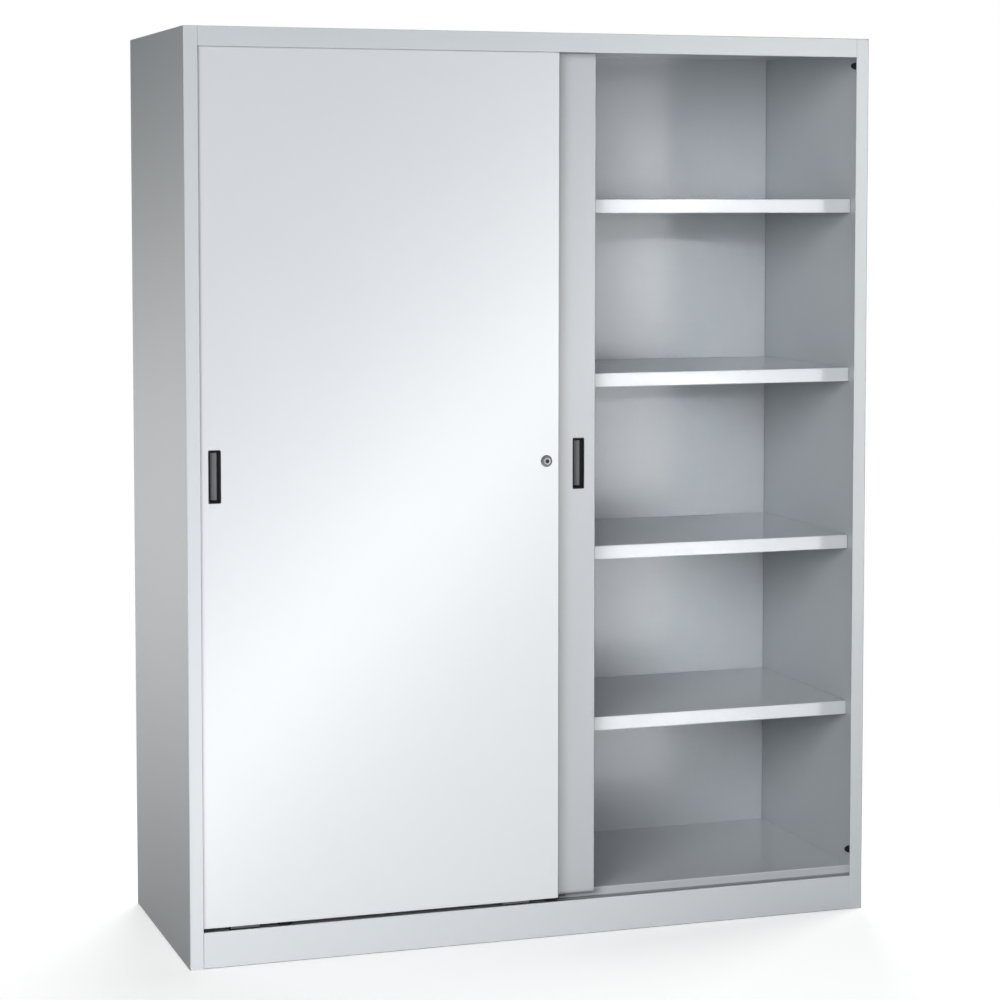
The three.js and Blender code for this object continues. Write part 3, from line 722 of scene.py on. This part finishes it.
def turned(profile, centre, axis, sides=64):
    """Each profile point (radius, position) goes round the axis through centre."""
    angle = np.linspace(0, 2 * math.pi, sides, endpoint=False)
    u, v, w = PLANES[axis]
    radius, place = profile[:, 0], profile[:, 1]
    points = np.empty((sides, len(profile), 3))
    points[..., u] = centre[u] + np.cos(angle)[:, None] * radius
    points[..., v] = centre[v] + np.sin(angle)[:, None] * radius
    points[..., w] = place
    return points.reshape(-1, 3), wrapped(points.shape[:2])


# %% [markdown]
# ### Lock
#
# The housing shows a collar on the door, and the plunger stands in its middle with the key
# plug. The collar's outer slope is a quarter of an ellipse. It turns away from the light, so it
# draws the dark ring that the photograph shows round the pale face. The collar's dark grey
# finish is partly the metal's tone and partly painted shade that deepens this ring.

# %% Lock sizes
# in millimetres, points as (radius, position along the lock)
COLLAR_PROUD, COLLAR_FLAT, COLLAR_SLOPE = 2.0, 9.6, 2.9
COLLAR_STEPS = 9
COLLAR_BORE = [(7.3, -1.6), (7.9, -2.0)]
HOUSING_BACK = [(9.5, 0), (9.5, 18), (5.3, 18), (5.3, 15), (7.3, 15)]
BUTTON_FACE = [(4.5, 0), (4.9, 0), (5.2, 0.35), (5.6, 0.35), (5.9, 0), (7.0, 0), (7.0, 10.5),
               (5.0, 10.5)]
BOLT, PLUG_BORE, PLUG_DEPTH = 5.0, 4.5, 10.0
ON_AXIS = 0.01
LOCK_SIDES = 96
COLLAR_EASE, BUTTON_EASE = 0.2 * MM, 0.3 * MM

# %% Lock
low, high = corners("lock_housing")
lock_centre = (low + high) / 2
slope = np.linspace(math.pi / 2, 0, COLLAR_STEPS)
collar = np.column_stack([COLLAR_FLAT + COLLAR_SLOPE * np.cos(slope),
                          -COLLAR_PROUD * np.sin(slope)])
housing = np.vstack([COLLAR_BORE, collar, HOUSING_BACK]) * MM
housing += [0, low[1] + COLLAR_PROUD * MM]
# the collar's finish is dark grey, partly painted shade round the face
made("lock_collar", [turned(eased(housing, COLLAR_EASE), lock_centre, "y", LOCK_SIDES)],
     ["lock_housing"])
front, back = (corner[1] for corner in corners("lock_plunger"))
bolt_end = (back - front) / MM
plunger = np.vstack([BUTTON_FACE, [[BOLT, bolt_end], [ON_AXIS, bolt_end],
                                   [ON_AXIS, PLUG_DEPTH], [PLUG_BORE, PLUG_DEPTH]]]) * MM
made("lock_button", [turned(eased(plunger + [0, front], BUTTON_EASE), lock_centre, "y",
                            LOCK_SIDES)], ["lock_plunger"], "lock_face")

# %% [markdown]
# The spring behind the plunger is a wire wound into a coil. Its middle line is a helix, and a
# circle is carried along it in the plane across the wire. The first and the last part of a
# turn lie flat, as on a real compression spring. When the plunger is pushed in, the coil
# flattens against the shoulder of the housing.

# %% Spring
WIRE = 0.45 * MM
TURNS, FLAT_TURNS = 4.5, 0.4
COIL_POINTS, WIRE_POINTS = 180, 10


def spring():
    """Position along the axis = a climb in proportion to the turn, held level over the flat
    turns at both ends. The circle's two directions are the radius and the cross product of
    radius and wire."""
    low, high = corners("lock_spring")
    radius = (high[0] - low[0]) / 2 - WIRE
    t = np.linspace(0, 1, COIL_POINTS)
    climb = np.clip((t * TURNS - FLAT_TURNS) / (TURNS - 2 * FLAT_TURNS), 0, 1)
    angle = 2 * math.pi * TURNS * t
    start, end = low[1] + WIRE, high[1] - WIRE
    centre = np.column_stack([lock_centre[0] + radius * np.cos(angle),
                              start + (end - start) * climb,
                              lock_centre[2] + radius * np.sin(angle)])
    along = np.gradient(centre, axis=0)
    along /= np.linalg.norm(along, axis=1)[:, None]
    out = np.column_stack([np.cos(angle), np.zeros_like(angle), np.sin(angle)])
    up = np.cross(out, along)
    ring = np.linspace(0, 2 * math.pi, WIRE_POINTS, endpoint=False)
    points = (centre[:, None] + WIRE * (np.cos(ring)[None, :, None] * out[:, None]
                                        + np.sin(ring)[None, :, None] * up[:, None]))
    coil = made("lock_coil", [tube(points)], ["lock_spring"])
    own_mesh(coil)


spring()

# %% [markdown]
# ### Rollers and buffers
#
# A roller is a nylon tyre on a hub. Its profile is written for one half, from the tyre's edge
# to the hub, as (radius, position) in millimetres, and mirrored for the other. The buffers are
# rubber buttons on the side panels: a short foot, then a dome whose radius is the quarter of an
# ellipse.

# %% Rollers
WHEEL = [(20, 3), (19.2, 4), (17, 4), (16, 3.2), (10, 3.2), (8, 4)]
HUB, BORE = 8, 3.3
WHEEL_EASE, WHEEL_EASE_STEPS = 0.3 * MM, 2

for door in DOORS:
    for side in ("left", "right"):
        low, high = corners(f"{door}_{side}_roller")
        middle, end = (low + high) / 2, (high - low)[1] / 2 / MM
        half = np.vstack([WHEEL, [[HUB, end], [BORE, end]]])
        wheel = np.vstack([(half * [1, -1])[::-1], half]) * MM + [0, middle[1]]
        made(f"{door}_{side}_wheel",
             [turned(eased(wheel, WHEEL_EASE, WHEEL_EASE_STEPS), middle, "y")],
             [f"{door}_{side}_roller"])

# %% Buffers
FOOT_SHARE, FOOT_EDGE, DOME_STEPS = 0.3, 0.5 * MM, 14

for node in slot_of:
    if "_buffer_" in node:
        low, high = corners(node)
        centre, radius, length = (low + high) / 2, (high - low)[1] / 2, (high - low)[0]
        foot, tip = (low[0], high[0]) if "_left_" in node else (high[0], low[0])
        way = math.copysign(1, tip - foot)
        turn = np.linspace(0, math.pi / 2, DOME_STEPS)
        dome = np.column_stack([radius * np.cos(turn),
                                length * (FOOT_SHARE + (1 - FOOT_SHARE) * np.sin(turn))])
        button = np.vstack([[0, 0], [radius - FOOT_EDGE, 0], [radius, FOOT_EDGE], dome])
        button[:, 0] = np.maximum(button[:, 0], ON_AXIS * MM)
        button[:, 1] = foot + way * button[:, 1]
        made(node.replace("buffer", "button"), [turned(button, centre, "x")], [node])

# %% [markdown]
# ## Floor, background and light
#
# The photograph is a cut-out on white. A large pale floor keeps the cabinet's soft shadow, and
# the world is white where the camera looks straight at it. For matt surfaces the world is a
# plain soft light. What gloss reflects is a studio, and it is drawn as a function of the
# reflected direction: a long strip lamp that hangs slantwise in front of the cabinet, and a
# low backdrop behind it. The strip gives the white band across the front door, and the
# backdrop gives the soft band across the side panel. The strip ends a little above the
# horizon, because otherwise the cabinet's top would mirror it when seen from behind.
#
# A lamp with a sharp edge would leave a hard stripe. The band in the photograph rises slowly
# from the left, falls fast and then stays at a plateau, so both sides are exponentials.

# %% World helpers
scene = bpy.context.scene
world = bpy.data.worlds.new("studio")
scene.world = world
world.use_nodes = True
sky, link = world.node_tree.nodes, world.node_tree.links
sky.clear()


def math_node(operation, *values):
    """A maths node on sockets or numbers, and its result."""
    new = sky.new("ShaderNodeMath")
    new.operation = operation
    for socket, value in zip(new.inputs, values):
        if isinstance(value, (int, float)):
            socket.default_value = value
        else:
            link.new(value, socket)
    return new.outputs[0]


def ramp(value, start, end, level):
    """The numbers of level as greys, spread evenly over value from start to end."""
    spread = math_node("DIVIDE", math_node("SUBTRACT", value, start), end - start)
    new = sky.new("ShaderNodeValToRGB")
    table = new.color_ramp
    while len(table.elements) < len(level):
        table.elements.new(1)
    for element, position, grey in zip(table.elements, np.linspace(0, 1, len(level)), level):
        element.position = position
        element.color = (grey, grey, grey, 1)
    link.new(spread, new.inputs[0])
    return new.outputs[0]


def backdrop(strength):
    """A white background shader with a strength that is a number or a socket."""
    new = sky.new("ShaderNodeBackground")
    new.inputs["Color"].default_value = (1, 1, 1, 1)
    if isinstance(strength, (int, float)):
        new.inputs["Strength"].default_value = strength
    else:
        link.new(strength, new.inputs["Strength"])
    return new.outputs[0]


def choose(factor, first, second):
    """Mixes two shaders: the second one where the factor is 1."""
    new = sky.new("ShaderNodeMixShader")
    for socket, value in zip(new.inputs, (factor, first, second)):
        link.new(value, socket)
    return new.outputs[0]


# %% World
STRIP_LEVEL = 7.8
STRIP_PEAK, STRIP_RISE, STRIP_FALL = 0.440, 0.105, 0.036
STRIP_PLATEAU, STRIP_END, STRIP_FADE = 0.48, 0.68, 0.12
STRIP_TOP, STRIP_GONE = 0.07, 0.17
STRIP_REACH, STRIP_POINTS, LEAST_FRONT = 0.96, 32, 0.05
HORIZON_LEVEL, HORIZON_AT, HORIZON_SPREAD = 0.7, -0.116, 0.09
HORIZON_REACH, HORIZON_POINTS, HORIZON_TURN, HORIZON_SOFT = 0.6, 31, 4, 0.2
GLOSS_REST = 0.05
SOFT_LEVEL = 0.04

axes = sky.new("ShaderNodeSeparateXYZ")
link.new(sky.new("ShaderNodeTexCoord").outputs["Generated"], axes.inputs[0])
x, y, z = axes.outputs
front = math_node("MULTIPLY", y, -1)
ahead = math_node("MAXIMUM", front, LEAST_FRONT)
slant = math_node("DIVIDE", math_node("SUBTRACT", x, z), ahead)
place = np.linspace(0, STRIP_REACH, STRIP_POINTS)
past = place - STRIP_PEAK
rising = np.exp(np.minimum(past, 0) / STRIP_RISE)
falling = STRIP_PLATEAU + (1 - STRIP_PLATEAU) * np.exp(-np.maximum(past, 0) / STRIP_FALL)
fade = np.clip((STRIP_END + STRIP_FADE - place) / STRIP_FADE, 0, 1)
strip = ramp(slant, 0, STRIP_REACH, rising * np.where(past < 0, 1, falling) * fade)
strip = math_node("MULTIPLY", strip, math_node("GREATER_THAN", front, LEAST_FRONT))
strip = math_node("MULTIPLY", strip, ramp(z, STRIP_TOP, STRIP_GONE, (1, 0)))
height = np.linspace(-HORIZON_REACH, HORIZON_REACH, HORIZON_POINTS)
band = ramp(z, -HORIZON_REACH, HORIZON_REACH,
            np.exp(-((height - HORIZON_AT) / HORIZON_SPREAD) ** 2 / 2))
behind = math_node("MAXIMUM", math_node("MULTIPLY", y, HORIZON_TURN), 0)
behind = math_node("SMOOTH_MIN", behind, 1, HORIZON_SOFT)
band = math_node("MULTIPLY", math_node("MULTIPLY", band, behind), HORIZON_LEVEL)
studio = math_node("ADD", math_node("MULTIPLY", strip, STRIP_LEVEL), band)
studio = math_node("ADD", studio, GLOSS_REST)
path = sky.new("ShaderNodeLightPath").outputs
mirror = math_node("MAXIMUM", path["Is Glossy Ray"], path["Is Transmission Ray"])
shading = choose(mirror, backdrop(SOFT_LEVEL), backdrop(studio))
out = sky.new("ShaderNodeOutputWorld")
link.new(choose(path["Is Camera Ray"], shading, backdrop(1.0)), out.inputs["Surface"])
print("world made")

# %% [markdown]
# The floor is one large square. Near the cabinet it is a matt surface that shows the shadow,
# lifted a little by light of its own. Farther out it turns to plain white, so that no horizon
# shows. In reflections the world stands for it.

# %% Floor
FLOOR_HALF, FLOOR_DROP = 40.0, 0.5 * MM
SHADOW_NEAR, SHADOW_FAR = 0.75, 1.7
FLOOR_LIFT = 0.45
FLOOR_GREY = (0.8, 0.8, 0.8, 1)
floor_mesh = bpy.data.meshes.new("studio_floor")
square = np.array([[-1, -1, 0], [1, -1, 0], [1, 1, 0], [-1, 1, 0]]) * FLOOR_HALF
floor_mesh.from_pydata((square - [0, 0, FLOOR_DROP]).tolist(), [], [[0, 1, 2, 3]])
floor = bpy.data.objects.new("studio_floor", floor_mesh)
scene.collection.objects.link(floor)
floor.visible_glossy = False
floor.visible_transmission = False
pale = bpy.data.materials.new("pale_floor")
pale.use_nodes = True
parts, wires = pale.node_tree.nodes, pale.node_tree.links
matt = parts["Principled BSDF"]
matt.inputs["Base Color"].default_value = FLOOR_GREY
matt.inputs["Roughness"].default_value = 1.0
matt.inputs["Specular IOR Level"].default_value = 0.0
lift, plain = parts.new("ShaderNodeEmission"), parts.new("ShaderNodeEmission")
lift.inputs["Strength"].default_value = FLOOR_LIFT
lifted, far, seen = (parts.new("ShaderNodeAddShader"), parts.new("ShaderNodeMixShader"),
                     parts.new("ShaderNodeMixShader"))
away = parts.new("ShaderNodeVectorMath")
away.operation = "LENGTH"
reach = parts.new("ShaderNodeMapRange")
reach.interpolation_type = "SMOOTHSTEP"
reach.inputs["From Min"].default_value = SHADOW_NEAR
reach.inputs["From Max"].default_value = SHADOW_FAR
wires.new(parts.new("ShaderNodeTexCoord").outputs["Object"], away.inputs[0])
wires.new(away.outputs["Value"], reach.inputs["Value"])
wires.new(matt.outputs[0], lifted.inputs[0])
wires.new(lift.outputs[0], lifted.inputs[1])
wires.new(reach.outputs["Result"], far.inputs[0])
wires.new(lifted.outputs[0], far.inputs[1])
wires.new(plain.outputs[0], far.inputs[2])
wires.new(parts.new("ShaderNodeLightPath").outputs["Is Camera Ray"], seen.inputs[0])
wires.new(matt.outputs[0], seen.inputs[1])
wires.new(far.outputs[0], seen.inputs[2])
wires.new(seen.outputs[0], parts["Material Output"].inputs["Surface"])
floor_mesh.materials.append(pale)
print("floor made")

# %% [markdown]
# Softboxes give the matt light. They stay out of reflections, because the world already draws
# what gloss should see. The key stands at the left, so that the front door shades the rear
# one, and a second box stands beside the camera. A tall narrow box with a grid in front of it
# throws a thin beam into the open half, between the door and the stile. Three boxes behind the
# front light the right side, the back and the top, for a look from there, and hardly touch
# what the camera sees.

# %% Lamps
# each lamp: its place, the point it aims at, width and height, beam in degrees, watts
LAMPS = {
    "key_box": ((-4.0, -4.5, 2.6), (0.2, 0, 0.9), (2.6, 2.6), 180, 232),
    "camera_box": ((-1.6, -5.6, 2.2), (0.3, 0, 0.9), (2.6, 2.6), 180, 129),
    "opening_box": ((-1.4, -5.0, 1.7), (0.47, 0.1, 0.98), (0.25, 1.4), 4.5, 0.44),
    "right_box": ((4.4, 1.5, 2.6), (0.75, 0, 0.9), (2.2, 2.2), 180, 115),
    "back_box": ((1.2, 4.4, 2.8), (0, 0.27, 0.9), (2.6, 2.6), 180, 120),
    "top_box": ((0.6, 1.8, 5.2), (0, 0, 1.9), (2.0, 2.0), 180, 65),
}


def softbox(name, at, aim, size, spread, power):
    """An area lamp at a point, turned towards another point. size is its width and height,
    spread the angle of its beam in degrees."""
    lamp = bpy.data.lights.new(name, "AREA")
    lamp.shape, lamp.energy = "RECTANGLE", power
    lamp.size, lamp.size_y = size
    lamp.spread = math.radians(spread)
    box = bpy.data.objects.new(name, lamp)
    box.location = at
    towards = Vector(aim) - Vector(at)
    box.rotation_euler = towards.to_track_quat("-Z", "Y").to_euler()
    box.visible_glossy = box.visible_camera = False
    scene.collection.objects.link(box)


for name, settings in LAMPS.items():
    softbox(name, *settings)
print("lamps made", len(LAMPS))

# %% [markdown]
# ## Camera
#
# The camera was fitted to the photograph's edges. It stands to the left of the cabinet at
# chest height, turned a little to the right and down. A modest vertical shift keeps the
# cabinet's uprights nearly upright, as an architectural lens does. A larger shift would make
# them fully upright, but would cut the cabinet off in a view from another side.

# %% Camera
LENS, SHIFT = 96.563, -0.13
STAND = (-1.862, -5.5267, 1.5657)
LOOK_DOWN, LOOK_RIGHT = 0.0653, 0.3256

camera_data = bpy.data.cameras.new("camera")
camera_data.lens = LENS
camera_data.shift_y = SHIFT
camera = bpy.data.objects.new("camera", camera_data)
camera.location = STAND
camera.rotation_euler = (math.pi / 2 - LOOK_DOWN, 0, -LOOK_RIGHT)
scene.collection.objects.link(camera)
scene.camera = camera
scene.view_settings.view_transform = "Standard"
print("camera made")
